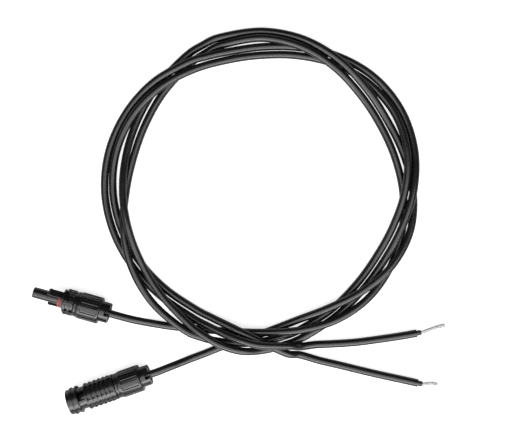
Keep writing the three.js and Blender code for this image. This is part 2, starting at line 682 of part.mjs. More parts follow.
function leadParts(prefix, route, place, heading, nutStart) {
  const crown = nutStart + NUT_LENGTH;
  const start = nutStart + JACKET_START;
  const exit = alongAxis(place, heading, [start, (start + crown) / 2, crown, crown + STRAIGHT_EXIT]);
  const loop = route.loop.map(([degrees, radius, height]) => {
    const angle = THREE.MathUtils.degToRad(degrees);
    return new THREE.Vector3(
      LOOP_CENTRE[0] + radius * Math.cos(angle),
      LOOP_CENTRE[1] + radius * Math.sin(angle),
      height,
    );
  });
  const asVectors = (points) => points.map((point) => new THREE.Vector3(...point));
  const jacket = [...exit, ...asVectors(route.head), ...loop, ...asVectors(route.tail)];
  const end = jacket.at(-1);
  const along = end.clone().sub(jacket.at(-2)).normalize();
  const beyondEnd = (distance) => end.clone().addScaledVector(along, distance);
  const stub = [beyondEnd(FIT_GAP), beyondEnd(BARE_STUB)];
  const strands = [beyondEnd(BARE_STUB + 2 * FIT_GAP), ...asVectors(route.bare)];
  return [
    part(`${prefix}_lead_jacket`, wire(jacket, CABLE_R), cableJacket),
    part(`${prefix}_lead_insulation_tip`, wire(stub, INSULATION_R), insulationBlack),
    part(`${prefix}_lead_bare_strands`, wire(strands, CONDUCTOR_R), tinnedStrands),
  ];
}

// ---- assembly -----------------------------------------------------------------------------------
function placed(connector, place, heading) {
  connector.position.set(...place);
  connector.rotation.z = THREE.MathUtils.degToRad(heading);
  return connector;
}

const leadPair = new THREE.Group();
leadPair.add(
  placed(socketConnector(), SOCKET_PLACE, SOCKET_HEADING),
  placed(pinConnector(), PIN_PLACE, PIN_HEADING),
  ...leadParts('socket', SOCKET_LEAD, SOCKET_PLACE, SOCKET_HEADING, SOCKET_NUT_START),
  ...leadParts('pin', PIN_LEAD, PIN_PLACE, PIN_HEADING, PIN_NUT_START),
);

export default leadPair;
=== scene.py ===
# A pair of solar module leads: two black single-core cables, one with a socket connector and one
# with a pin connector, wound together into a flat loop, with stripped ends. Built round the packed
# model, in metres, +Z up.
import json
import math
import random

import bpy
from mathutils import Matrix, Vector


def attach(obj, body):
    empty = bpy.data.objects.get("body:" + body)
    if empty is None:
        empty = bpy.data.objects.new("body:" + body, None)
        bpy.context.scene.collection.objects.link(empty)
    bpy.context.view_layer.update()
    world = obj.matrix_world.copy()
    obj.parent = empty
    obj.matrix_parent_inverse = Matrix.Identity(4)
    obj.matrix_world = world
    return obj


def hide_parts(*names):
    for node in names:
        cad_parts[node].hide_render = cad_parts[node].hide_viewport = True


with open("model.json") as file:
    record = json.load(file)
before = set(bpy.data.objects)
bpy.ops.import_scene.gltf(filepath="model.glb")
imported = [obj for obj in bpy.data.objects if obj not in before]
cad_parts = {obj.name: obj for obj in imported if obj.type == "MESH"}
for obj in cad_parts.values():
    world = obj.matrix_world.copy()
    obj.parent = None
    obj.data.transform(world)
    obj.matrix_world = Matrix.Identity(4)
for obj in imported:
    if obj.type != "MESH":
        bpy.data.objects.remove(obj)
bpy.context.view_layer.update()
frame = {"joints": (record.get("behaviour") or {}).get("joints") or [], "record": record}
bpy.ops.object.select_all(action="DESELECT")

# ---- camera ------------------------------------------------------------------------------------
# The pair is seen from straight above, a little to the side of the loop's middle, as laid out on a
# table. The lens takes in VIEW_WIDTH across the picture, at the height of the leads.
CAMERA_PLACE = (0.1149, 0.0983, 0.65)
VIEW_WIDTH = 0.363
LEAD_HEIGHT = 0.005
SENSOR_WIDTH_MM = 36

bpy.ops.object.camera_add(location=CAMERA_PLACE, rotation=(0, 0, 0))
camera = bpy.context.object
camera.name = "camera"
camera.data.sensor_width = SENSOR_WIDTH_MM
camera.data.lens = SENSOR_WIDTH_MM * (CAMERA_PLACE[2] - LEAD_HEIGHT) / VIEW_WIDTH
bpy.context.scene.camera = camera

# ---- shared surface effects --------------------------------------------------------------------
# Moulded and extruded black plastic is never one even black: fine grain, soft cloudy differences in
# gloss where it was handled, and a few rubbed spots. The group gives these to each finish.


def surface_group():
    group = bpy.data.node_groups.new("handled_surface", "ShaderNodeTree")
    face = group.interface
    scales = (("Grain Scale", 2500.0), ("Cloud Scale", 120.0), ("Low", 0.35), ("High", 0.5))
    for name, value in scales:
        face.new_socket(name, in_out="INPUT", socket_type="NodeSocketFloat").default_value = value
    for name in ("Roughness", "Height", "Rub"):
        face.new_socket(name, in_out="OUTPUT", socket_type="NodeSocketFloat")
    nodes, links = group.nodes, group.links
    given = nodes.new("NodeGroupInput")
    result = nodes.new("NodeGroupOutput")
    place = nodes.new("ShaderNodeTexCoord")
    grain = nodes.new("ShaderNodeTexNoise")
    grain.inputs["Detail"].default_value = 3
    cloud = nodes.new("ShaderNodeTexNoise")
    cloud.inputs["Detail"].default_value = 6
    cloud.inputs["Roughness"].default_value = 0.65
    for noise, scale in ((grain, "Grain Scale"), (cloud, "Cloud Scale")):
        links.new(place.outputs["Object"], noise.inputs["Vector"])
        links.new(given.outputs[scale], noise.inputs["Scale"])
    gloss = nodes.new("ShaderNodeMapRange")
    gloss.inputs["From Min"].default_value = 0.35
    gloss.inputs["From Max"].default_value = 0.65
    links.new(cloud.outputs["Fac"], gloss.inputs["Value"])
    links.new(given.outputs["Low"], gloss.inputs["To Min"])
    links.new(given.outputs["High"], gloss.inputs["To Max"])
    rub = nodes.new("ShaderNodeMapRange")
    rub.inputs["From Min"].default_value = 0.6
    rub.inputs["From Max"].default_value = 0.75
    links.new(cloud.outputs["Fac"], rub.inputs["Value"])
    links.new(gloss.outputs["Result"], result.inputs["Roughness"])
    links.new(grain.outputs["Fac"], result.inputs["Height"])
    links.new(rub.outputs["Result"], result.inputs["Rub"])
    return group


handled_surface = surface_group()


def finish(name, slot_color, rubbed, gloss, grain, bump, metallic=0.0, cloud=120.0):
    """A plain finish: two colours, a range of roughness, and grain as deep as bump, in metres."""
    material = bpy.data.materials.new(name)
    material.use_nodes = True
    material.diffuse_color = (*slot_color, 1)
    nodes, links = material.node_tree.nodes, material.node_tree.links
    shader = nodes["Principled BSDF"]
    shader.inputs["Metallic"].default_value = metallic
    surface = nodes.new("ShaderNodeGroup")
    surface.node_tree = handled_surface
    surface.inputs["Grain Scale"].default_value = grain
    surface.inputs["Cloud Scale"].default_value = cloud
    surface.inputs["Low"].default_value = gloss[0]
    surface.inputs["High"].default_value = gloss[1]
    tint = nodes.new("ShaderNodeMix")
    tint.data_type = "RGBA"
    tint.inputs["A"].default_value = (*slot_color, 1)
    tint.inputs["B"].default_value = (*rubbed, 1)
    relief = nodes.new("ShaderNodeBump")
    relief.inputs["Distance"].default_value = bump
    relief.inputs["Strength"].default_value = 0.6
    links.new(surface.outputs["Rub"], tint.inputs["Factor"])
    links.new(tint.outputs["Result"], shader.inputs["Base Color"])
    links.new(surface.outputs["Roughness"], shader.inputs["Roughness"])
    links.new(surface.outputs["Height"], relief.inputs["Height"])
    links.new(relief.outputs["Normal"], shader.inputs["Normal"])
    return material


# ---- lead jackets ------------------------------------------------------------------------------
# Each lead is a double-insulated single core, 5.5 mm across, extruded with a semi-gloss black
# jacket. It leaves its connector straight, winds two turns round the loop and ends in a square cut.
LEADS_BODY = "housings_and_leads"
LEAD_DIAMETER = 0.0055
JACKET_START = 0.0012
NUT_LENGTH = 0.025
STRAIGHT_EXIT = 0.0065
LOOP_CENTRE = (0.1196, 0.1121)
LIE = 0.0028

joints = {joint["name"]: joint for joint in frame["joints"]}
mounts = {mount["name"]: mount for mount in frame["record"]["mounts"]}


def connector_axis(nut_turn, face_mount):
    """The connector's own frame: its mating end at the origin, +X along its axis to the cable."""
    along = Vector(joints[nut_turn]["axis"]).normalized()
    point = Vector(joints[nut_turn]["pos_m"])
    face = Vector(mounts[face_mount]["pos_m"])
    origin = point + along * (face - point).dot(along)
    up = Vector((0, 0, 1))
    side = up.cross(along)
    rows = [(along[i], side[i], up[i], origin[i]) for i in range(3)]
    return Matrix((*rows, (0, 0, 0, 1)))


SOCKET_AXIS = connector_axis("socket_nut_turn", "nose_face")
PIN_AXIS = connector_axis("pin_nut_turn", "barrel_mouth_face")
SOCKET_NUT_START = 0.0305
PIN_NUT_START = 0.035

SOCKET_LEAD = {
    "head": [
        (0.0291, 0.0214, 0.0082), (0.0398, 0.0188, 0.0042), (0.0469, 0.0174, 0.0030),
        (0.0540, 0.0163, LIE),
    ],
    "loop": [
        (240, 0.1118, LIE), (255, 0.1027, 0.0034), (270, 0.0994, 0.0088), (285, 0.1012, 0.0092),
        (300, 0.1045, 0.0087), (315, 0.1063, 0.0057), (330, 0.1055, 0.0030), (345, 0.1030, LIE),
        (360, 0.0998, LIE), (375, 0.0971, LIE), (390, 0.0961, 0.0030), (405, 0.0976, 0.0047),
        (420, 0.1012, 0.0083), (435, 0.1055, 0.0092), (450, 0.1084, 0.0071), (465, 0.1081, 0.0039),
        (472.5, 0.1065, LIE), (480, 0.1043, LIE), (495, 0.0996, LIE), (510, 0.0961, LIE),
        (525, 0.0950, LIE), (540, 0.0971, 0.0034), (555, 0.1017, 0.0084), (570, 0.1067, 0.0090),
        (585, 0.1106, 0.0073), (600, 0.1122, 0.0086), (607.5, 0.1116, 0.0080),
        (615, 0.1099, 0.0083),
        (622.5, 0.1080, 0.0087), (630, 0.1061, 0.0062), (637.5, 0.1040, 0.0039), (645, 0.1017, LIE),
        (660, 0.0971, LIE), (675, 0.0939, LIE), (690, 0.0931, 0.0036), (705, 0.0955, 0.0063),
        (720, 0.1002, 0.0090), (735, 0.1056, 0.0087), (750, 0.1087, 0.0055), (765, 0.1079, 0.0031),
        (780, 0.1043, LIE), (795, 0.1000, LIE), (810, 0.0970, LIE), (825, 0.0968, 0.0033),
        (840, 0.0991, 0.0075), (855, 0.1029, 0.0096), (870, 0.1062, 0.0080), (885, 0.1074, 0.0048),
        (900, 0.1064, 0.0031), (915, 0.1038, LIE), (930, 0.1006, LIE), (945, 0.0978, LIE),
        (960, 0.0963, 0.0031), (967.5, 0.0964, 0.0049), (975, 0.0975, 0.0086),
        (983, 0.1007, 0.0125),
        (990, 0.1060, 0.0122), (998.5, 0.1158, 0.0073),
    ],
    "tail": [
        (0.1464, -0.0041, 0.0030), (0.1603, -0.0081, LIE), (0.1745, -0.0114, LIE),
        (0.1887, -0.0149, LIE), (0.2029, -0.0182, LIE), (0.2171, -0.0213, LIE),
        (0.2298, -0.0241, LIE),
    ],
    "bare": [
        (0.2387, -0.0246, 0.0019), (0.2442, -0.0253, 0.0015),
    ],
}
PIN_LEAD = {
    "head": [
        (0.0540, -0.0117, 0.0086), (0.0612, -0.0093, 0.0056), (0.0686, -0.0067, 0.0032),
        (0.0781, -0.0032, LIE), (0.0866, 0.0002, LIE),
    ],
    "loop": [
        (258, 0.1107, LIE), (270, 0.1008, LIE), (285, 0.0945, 0.0042), (300, 0.0946, 0.0084),
        (315, 0.0993, 0.0092), (330, 0.1050, 0.0097), (345, 0.1081, 0.0067), (360, 0.1070, 0.0032),
        (375, 0.1038, LIE), (390, 0.1020, 0.0034), (405, 0.1032, 0.0077), (420, 0.1071, 0.0097),
        (435, 0.1113, 0.0073), (450, 0.1138, 0.0038), (465, 0.1138, LIE), (472.5, 0.1125, LIE),
        (480, 0.1105, LIE), (495, 0.1060, LIE), (510, 0.1025, 0.0031), (525, 0.1000, 0.0059),
        (540, 0.0984, 0.0105), (555, 0.0978, 0.0129), (570, 0.0992, 0.0090), (585, 0.1021, 0.0085),
        (600, 0.1062, 0.0108), (607.5, 0.1088, 0.0133), (615, 0.1116, 0.0146),
        (622.5, 0.1132, 0.0115),
        (630, 0.1126, 0.0050), (637.5, 0.1104, LIE), (645, 0.1078, 0.0030), (660, 0.1030, LIE),
        (675, 0.0998, 0.0031), (690, 0.0990, 0.0052), (705, 0.1013, 0.0090), (720, 0.1062, 0.0097),
        (735, 0.1114, 0.0060), (750, 0.1143, 0.0032), (765, 0.1138, LIE), (780, 0.1104, LIE),
        (795, 0.1060, LIE), (810, 0.1029, 0.0031), (825, 0.1021, 0.0059), (832.5, 0.1032, 0.0079),
        (840, 0.1050, 0.0091), (855, 0.1089, 0.0083), (870, 0.1117, 0.0046), (885, 0.1130, 0.0030),
        (900, 0.1123, LIE), (915, 0.1099, 0.0030), (930, 0.1067, 0.0030), (945, 0.1039, LIE),
        (960, 0.1024, 0.0046), (967.5, 0.1026, 0.0078), (975, 0.1037, 0.0111),
        (983, 0.1055, 0.0162),
        (990, 0.1073, 0.0184), (1000, 0.1101, 0.0121),
    ],
    "tail": [
        (0.1469, 0.0025, 0.0062), (0.1573, 0.0033, 0.0032), (0.1674, 0.0037, LIE),
        (0.1781, 0.0043, LIE), (0.1887, 0.0052, LIE), (0.2029, 0.0071, LIE), (0.2171, 0.0092, LIE),
        (0.2291, 0.0113, LIE),
    ],
    "bare": [
        (0.2412, 0.0147, 0.0019), (0.2495, 0.0169, 0.0015),
    ],
}


def lead_points(route, axis, nut_start):
    """The points of a lead's centreline: along the connector's axis, then over the plane."""
    start = nut_start + JACKET_START
    crown = nut_start + NUT_LENGTH
    exits = (start, (start + crown) / 2, crown, crown + STRAIGHT_EXIT)
    points = [axis @ Vector((x, 0, 0)) for x in exits]
    points += [Vector(point) for point in route["head"]]
    for degrees, radius, height in route["loop"]:
        angle = math.radians(degrees)
        x = LOOP_CENTRE[0] + radius * math.cos(angle)
        y = LOOP_CENTRE[1] + radius * math.sin(angle)
        points.append(Vector((x, y, height)))
    return points + [Vector(point) for point in route["tail"]]


def smooth_line(curve, points):
    """One open spline through the points. Its handles lie along the line between neighbours."""
    line = curve.splines.new("BEZIER")
    line.bezier_points.add(len(points) - 1)
    before = [2 * points[0] - points[1], *points[:-1]]
    after = [*points[1:], 2 * points[-1] - points[-2]]
    for knot, point, last, following in zip(line.bezier_points, points, before, after):
        knot.handle_left_type = knot.handle_right_type = "FREE"
        knot.co = point
        knot.handle_left = point - (following - last) / 6
        knot.handle_right = point + (following - last) / 6


def wire(name, lines, diameter, steps, sides):
    """A curve object, round in section, along each list of points."""
    bpy.ops.object.select_all(action="DESELECT")
    bpy.ops.curve.primitive_bezier_curve_add(location=(0, 0, 0))
    piece = bpy.context.object
    piece.name = piece.data.name = name
    piece.data.splines.clear()
    piece.data.dimensions = "3D"
    piece.data.bevel_depth = diameter / 2
    piece.data.bevel_resolution = sides
    piece.data.resolution_u = steps
    piece.data.use_fill_caps = True
    for points in lines:
        smooth_line(piece.data, points)
    return piece


def dress(piece, material, slot, body, *nodes):
    """Gives a finished piece its finish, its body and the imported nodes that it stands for."""
    piece.data.materials.clear()
    piece.data.materials.append(material)
    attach(piece, body)
    if nodes:
        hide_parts(*nodes)
    return piece


jacket_black = finish(
    "jacket_black",
    (0.0042, 0.0042, 0.0045),
    (0.007, 0.007, 0.0075),
    (0.22, 0.32),
    1800,
    0.00003,
    cloud=90,
)

leads = {}
for name, route, axis, nut_start in (
    ("socket_lead", SOCKET_LEAD, SOCKET_AXIS, SOCKET_NUT_START),
    ("pin_lead", PIN_LEAD, PIN_AXIS, PIN_NUT_START),
):
    centreline = lead_points(route, axis, nut_start)
    leads[name] = centreline
    jacket = wire(f"{name}_cable", [centreline], LEAD_DIAMETER, 10, 6)
    dress(jacket, jacket_black, "cable_jacket", LEADS_BODY, f"{name}_jacket")

# ---- stripped ends -----------------------------------------------------------------------------
# The jacket is cut back and the black inner insulation shows for about 3 mm. Past it the conductor,
# here 36 tinned copper wires, is twisted tight and opens a little at its cut tip.
STUB_LENGTH = 0.0032
INSULATION_DIAMETER = 0.0038
GAP = 0.0003
STRAND_DIAMETER = 0.00034
STRAND_RINGS = ((1, 0.0), (6, 0.00036), (12, 0.00072), (17, 0.00106))
STRAND_LAY = 0.02  # length of one full twist
STRAND_STEP = 0.0008

inner_black = finish(
    "inner_black", (0.009, 0.009, 0.01), (0.02, 0.02, 0.02), (0.4, 0.55), 2600, 0.00004
)
tinned_copper = finish(
    "tinned_copper_wire",
    (0.50, 0.50, 0.495),
    (0.34, 0.335, 0.325),
    (0.38, 0.55),
    3000,
    0.00002,
    metallic=1.0,
    cloud=260,
)
scatter = random.Random(11)


def along_points(points, step):
    """Evenly spaced places and directions on the smooth line through the points."""
    places = []
    for i in range(len(points) - 1):
        p0 = points[i - 1] if i else 2 * points[0] - points[1]
        p3 = points[i + 2] if i + 2 < len(points) else 2 * points[-1] - points[-2]
        count = max(2, round((points[i + 1] - points[i]).length / step))
        for k in range(count):
            t = k / count
            place = 0.5 * (
                2 * points[i]
                + (points[i + 1] - p0) * t
                + (2 * p0 - 5 * points[i] + 4 * points[i + 1] - p3) * t**2
                + (3 * points[i] - p0 - 3 * points[i + 1] + p3) * t**3
            )
            places.append(place)
    return [*places, points[-1]]


def twisted_strands(name, points):
    places = along_points(points, STRAND_STEP)
    lines = []
    for count, ring in STRAND_RINGS:
        for k in range(count):
            phase = 2 * math.pi * (k + scatter.uniform(-0.12, 0.12)) / count
            spread = scatter.uniform(0.0, 0.00025)
            keep = len(places) - scatter.choice((0, 0, 0, 1))
            strand = []
            for i, place in enumerate(places[:keep]):
                last = places[max(i - 1, 0)]
                following = places[min(i + 1, len(places) - 1)]
                along = (following - last).normalized()
                side = Vector((0, 0, 1)).cross(along).normalized()
                up = along.cross(side)
                turn = phase + 2 * math.pi * i * STRAND_STEP / STRAND_LAY
                opened = ring + spread * (i / len(places)) ** 3
                strand.append(place + opened * (math.cos(turn) * side + math.sin(turn) * up))
            lines.append(strand)
    wire(name, lines, STRAND_DIAMETER, 1, 1)
    bpy.ops.object.convert(target="MESH")
    bpy.ops.object.shade_smooth()
    return bpy.context.object


for name, route in (("socket_lead", SOCKET_LEAD), ("pin_lead", PIN_LEAD)):
    end = leads[name][-1]
    along = (end - leads[name][-2]).normalized()
    stub = wire(
        f"{name}_inner_insulation",
        [[end - along * 0.0001, end + along * STUB_LENGTH]],
        INSULATION_DIAMETER,
        2,
        4,
    )
    dress(stub, inner_black, "inner_insulation", LEADS_BODY, f"{name}_insulation_tip")
    first = [end + along * (STUB_LENGTH - 0.001), end + along * (STUB_LENGTH + 2 * GAP)]
    strands = twisted_strands(
        f"{name}_wire_strands", [*first, *[Vector(point) for point in route["bare"]]]
    )
    dress(strands, tinned_copper, "tinned_strands", LEADS_BODY, f"{name}_bare_strands")

# ---- socket connector housing ------------------------------------------------------------------
# One moulding of black glass-filled polyamide: a slim nose that takes the other half's pin, a
# collar with two ring beads and eight ribs for grip, and a threaded rear core for the cap nut.
MM = 0.001  # the connectors are drawn in millimetres
FACETS = 96
EASING = 0.16  # radius of the moulded corners, in millimetres
CORE_R = 6.9
CORE_LENGTH = 9.0
THREAD_PITCH = 1.5
THREAD_TURNS = 4
THREAD_R = 7.4
THREAD_ROOT = 0.3  # how far the ridge is sunk into the core
CHAMBER_R = 4.35
SEAL_CHAMBER_R = 5.0
FIT_GAP = 0.3
SHOULDER_BACK = 6.9  # from the nut's front to the shoulder that stops the contact
SMOOTH_DEGREES = 32
PAST_BODY = 10  # outer end of a cut into the body
ARM_ANGLES = (52, 232)  # degrees up from the level side, towards the top
ARM_WIDTH = 5.0
ARM_INNER_R = 5.7
SOCKET_NUT = SOCKET_NUT_START / MM
SOCKET_SHOULDER = SOCKET_NUT - SHOULDER_BACK
COLLAR_R = 7.6
COLLAR_RINGS = (23.8, 27.1)


def eased(profile, reach):
    """The profile with its corners rounded, and points on the axis left as they are."""
    corners = [Vector(point) for point in profile]
    outline = []
    for i, corner in enumerate(corners):
        if corner.y == 0:
            outline.append(corner)
            continue
        to_last = corners[i - 1] - corner
        to_next = corners[(i + 1) % len(corners)] - corner
        cut_back = min(reach, to_last.length / 2.5, to_next.length / 2.5)
        start = corner + to_last.normalized() * cut_back
        end = corner + to_next.normalized() * cut_back
        outline += [start, corner * 0.6 + (start + end) * 0.2, end]
    return outline


def drawn(name, outline, closed):
    """A line of edges in the axial plane through (place, radius) points in millimetres."""
    bpy.ops.object.select_all(action="DESELECT")
    bpy.ops.mesh.primitive_plane_add(size=MM, location=(0, 0, 0))
    piece = bpy.context.object
    piece.name = piece.data.name = name
    bpy.ops.object.mode_set(mode="EDIT")
    bpy.ops.mesh.select_all(action="SELECT")
    bpy.ops.mesh.merge(type="CENTER")
    bpy.ops.transform.translate(value=(outline[0].x * MM, outline[0].y * MM, 0))
    goals = outline[1:] + outline[:1] if closed else outline[1:]
    for last, point in zip(outline, goals):
        step = (point - last) * MM
        bpy.ops.mesh.extrude_vertices_move(TRANSFORM_OT_translate={"value": (step.x, step.y, 0)})
    bpy.ops.mesh.select_all(action="SELECT")
    bpy.ops.mesh.remove_doubles(threshold=1e-7)
    return piece


def close_up():
    """Merges doubles, turns the faces outwards and leaves edit mode."""
    bpy.ops.mesh.select_all(action="SELECT")
    bpy.ops.mesh.remove_doubles(threshold=1e-7)
    bpy.ops.mesh.normals_make_consistent(inside=False)
    bpy.ops.object.mode_set(mode="OBJECT")
    return bpy.context.object


def turned(name, profile, easing=EASING, facets=FACETS):
    """A solid spun about the connector's axis from a profile that closes, or ends on the axis."""
    closed = profile[0][1] > 0
    drawn(name, eased(profile, easing), closed)
    bpy.ops.mesh.spin(steps=facets, angle=2 * math.pi, center=(0, 0, 0), axis=(1, 0, 0))
    return close_up()


def sector(x0, x1, inner, outer, half_angle):
    """A part of a tube, to each side of the level plane."""
    corners = [Vector((x0, inner)), Vector((x1, inner)), Vector((x1, outer)), Vector((x0, outer))]
    drawn("sector", corners, True)
    bpy.ops.mesh.edge_face_add()
    turn = math.radians(2 * half_angle)
    bpy.ops.mesh.spin(steps=16, angle=turn, center=(0, 0, 0), axis=(1, 0, 0))
    piece = close_up()
    middle = sum((vertex.co.z for vertex in piece.data.vertices)) > 0
    piece.data.transform(Matrix.Rotation(-turn / 2 if middle else turn / 2, 4, "X"))
    return piece


def block(x0, x1, width, inner, outer, rounding=0.2):
    """A block on the level side, between two distances from the axis, with its edges rounded."""
    bpy.ops.object.select_all(action="DESELECT")
    bpy.ops.mesh.primitive_cube_add(size=MM, location=(0, 0, 0))
    bpy.ops.object.mode_set(mode="EDIT")
    bpy.ops.transform.resize(value=(x1 - x0, outer - inner, width))
    bpy.ops.transform.translate(value=((x0 + x1) / 2 * MM, (inner + outer) / 2 * MM, 0))
    if rounding:
        bpy.ops.mesh.bevel(offset=rounding * MM, segments=3, affect="EDGES")
    return close_up()


def round_the_axis(model, angles):
    """Copies of a model, each turned up from the level side, joined into one object."""
    copies = []
    for degrees in angles:
        copy = model.copy()
        copy.data = model.data.copy()
        copy.data.transform(Matrix.Rotation(math.radians(degrees), 4, "X"))
        bpy.context.collection.objects.link(copy)
        copies.append(copy)
    bpy.data.objects.remove(model)
    bpy.ops.object.select_all(action="DESELECT")
    for copy in copies:
        copy.select_set(True)
    bpy.context.view_layer.objects.active = copies[0]
    if len(copies) > 1:
        bpy.ops.object.join()
    return copies[0]


def ring_of(model, count, start=0.0):
    return round_the_axis(model, [start + 360 * i / count for i in range(count)])


def combine(piece, tool, operation):
    """Joins a tool to a piece, or cuts the piece with it, and takes the tool away."""
    bpy.ops.object.select_all(action="DESELECT")
    bpy.context.view_layer.objects.active = piece
    piece.select_set(True)
    boolean = piece.modifiers.new("tool", "BOOLEAN")
    boolean.object = tool
    boolean.operation = operation
    boolean.solver = "MANIFOLD"
    bpy.ops.object.modifier_apply(modifier=boolean.name)
    bpy.data.objects.remove(tool)
    return piece


def settle(piece, axis):
    """Puts a finished shape at its connector's place and smooths its rounded faces."""
    bpy.ops.object.select_all(action="DESELECT")
    bpy.context.view_layer.objects.active = piece
    piece.select_set(True)
    piece.data.transform(axis)
    bpy.ops.object.shade_smooth_by_angle(angle=math.radians(SMOOTH_DEGREES))
    return piece


def beads(fronts, width, base, top):
    """Profile points of a row of ring beads that stand on a smaller radius."""
    points = []
    for x in fronts:
        points += [(x, base), (x, top), (x + width, top), (x + width, base)]
    return points


def rear_core(nut, body_radius):
    """Profile points of the plain core behind the body, and of the chambers inside it."""
    return [
        (nut - FIT_GAP, body_radius),
        (nut - FIT_GAP, CORE_R),
        (nut + CORE_LENGTH, CORE_R),
        (nut + CORE_LENGTH, SEAL_CHAMBER_R),
        (nut + 2, SEAL_CHAMBER_R),
        (nut + 2, CHAMBER_R),
        (nut - SHOULDER_BACK, CHAMBER_R),
    ]


def thread_ridge(nut):
    """The helical ridge that the cap nut screws on to."""
    half = THREAD_PITCH / 2
    root = CORE_R - THREAD_ROOT
    section = [(0, root), (half, root), (half * 0.75, THREAD_R), (half * 0.25, THREAD_R)]
    ridge = drawn("thread", [Vector((nut + half + x, r)) for x, r in section], True)
    bpy.ops.object.mode_set(mode="OBJECT")
    screw = ridge.modifiers.new("screw", "SCREW")
    screw.axis = "X"
    screw.angle = 2 * math.pi
    screw.iterations = THREAD_TURNS
    screw.screw_offset = THREAD_PITCH * MM
    screw.steps = screw.render_steps = 64
    bpy.ops.object.modifier_apply(modifier=screw.name)
    bpy.ops.object.mode_set(mode="EDIT")
    bpy.ops.mesh.select_all(action="SELECT")
    bpy.ops.mesh.fill_holes(sides=8)
    return close_up()


moulded_black = finish(
    "moulded_black",
    (0.004, 0.004, 0.0043),
    (0.008, 0.008, 0.0085),
    (0.24, 0.34),
    2400,
    0.00003,
    cloud=140,
)

socket_body = turned(
    "socket_body",
    [
        (0, 2.3),
        (0, 3.8),
        (18.4, 3.8),
        (18.4, 3.85),
        (22.6, 3.85),
        (22.6, COLLAR_R),
        *beads(COLLAR_RINGS, 1.2, COLLAR_R, 9.2),
        *rear_core(SOCKET_NUT, COLLAR_R),
        (SOCKET_SHOULDER, 3.0),
        (1.2, 3.0),
        (1.2, 2.3),
    ],
)
combine(socket_body, ring_of(block(23.9, 30.2, 1.2, 6.6, 9.1), 8), "UNION")
combine(socket_body, thread_ridge(SOCKET_NUT), "UNION")
arm_pocket = block(21.6, 26.3, ARM_WIDTH + 2 * FIT_GAP, ARM_INNER_R - FIT_GAP, PAST_BODY, 0)
combine(socket_body, round_the_axis(arm_pocket, ARM_ANGLES), "DIFFERENCE")
ridge_pocket = sector(21.6, 23.6, ARM_INNER_R - FIT_GAP, PAST_BODY, 37)
combine(socket_body, round_the_axis(ridge_pocket, ARM_ANGLES), "DIFFERENCE")
settle(socket_body, SOCKET_AXIS)
dress(socket_body, moulded_black, "housing_plastic", LEADS_BODY, "socket_housing")

# ---- latch arms --------------------------------------------------------------------------------
# Two sprung fingers of the same polyamide, one each side of the nose. Each has a ramped tooth that
# clicks into the barrel's window, and a finger ridge with grip lines to press it by.
ARM_OUTER_R = 6.9
TOOTH_REAR = 13.4


def latch_arm(name):
    outline = [
        (10.8, ARM_INNER_R),
        (26.0, ARM_INNER_R),
        (26.0, ARM_OUTER_R),
        (TOOTH_REAR, ARM_OUTER_R),
        (TOOTH_REAR, 7.5),
        (12.4, 7.5),
        (11.0, 6.6),
        (10.8, 6.3),
    ]
    drawn(name, [Vector(point) for point in outline], True)
    bpy.ops.transform.translate(value=(0, 0, -ARM_WIDTH / 2 * MM))
    bpy.ops.mesh.edge_face_add()
    bpy.ops.mesh.extrude_region_move(TRANSFORM_OT_translate={"value": (0, 0, ARM_WIDTH * MM)})
    arm = close_up()
    combine(arm, sector(21.8, 23.3, 6.0, 9.2, 32), "UNION")
    relief = turned(
        "relief", [(17.8, 0.5), (17.8, 5.9), (22.4, 5.9), (22.4, 0.5)], 0, 48
    )
    combine(arm, relief, "DIFFERENCE")
    for x in (19.0, 20.0, 21.0):
        combine(arm, block(x, x + 0.35, ARM_WIDTH - 1.4, 6.65, 8, 0), "DIFFERENCE")
    bevel = arm.modifiers.new("rounded_edges", "BEVEL")
    bevel.width = 0.18 * MM
    bevel.segments = 2
    bevel.angle_limit = math.radians(40)
    bpy.ops.object.modifier_apply(modifier=bevel.name)
    return arm


for letter, degrees in zip("ab", ARM_ANGLES):
    arm = latch_arm(f"latch_finger_{letter}")
    arm.data.transform(Matrix.Rotation(math.radians(degrees), 4, "X"))
    settle(arm, SOCKET_AXIS)
    dress(arm, moulded_black, "housing_plastic", f"latch_arm_{letter}", f"latch_arm_{letter}")

# ---- nose seal ---------------------------------------------------------------------------------
# A soft ring of dull red silicone at the root of the nose, moulded with two lips. It closes the gap
# to the barrel's inner sleeve when the pair is mated.
silicone_red = finish(
    "silicone_red",
    (0.15, 0.032, 0.028),
    (0.2, 0.06, 0.055),
    (0.42, 0.6),
    3200,
    0.00002,
    cloud=400,
)
nose_seal = turned(
    "nose_seal",
    [
        (18.5, 3.95),
        (18.5, 5.1),
        (18.9, 5.45),
        (19.7, 5.45),
        (20.05, 5.0),
        (20.55, 5.0),
        (20.9, 5.45),
        (21.7, 5.45),
        (22.1, 5.1),
        (22.1, 3.95),
    ],
    0.25,
)
settle(nose_seal, SOCKET_AXIS)
dress(nose_seal, silicone_red, "seal_red", LEADS_BODY, "nose_seal_ring")

# ---- contacts ----------------------------------------------------------------------------------
# A turned, tinned copper socket with a rolled band of spring leaf inside it, and a tinned copper
# pin with a tapered tip. Both end in a shoulder and in the barrel crimped on to the conductor.
tinned_contact = finish(
    "tinned_contact",
    (0.78, 0.77, 0.73),
    (0.60, 0.56, 0.48),
    (0.16, 0.34),
    5000,
    0.00001,
    metallic=1.0,
    cloud=500,
)
spring_leaf = finish(
    "spring_leaf",
    (0.66, 0.64, 0.58),
    (0.5, 0.46, 0.38),
    (0.2, 0.36),
    4200,
    0.00001,
    metallic=1.0,
    cloud=600,
)
CRIMP_SQUEEZE = 0.25


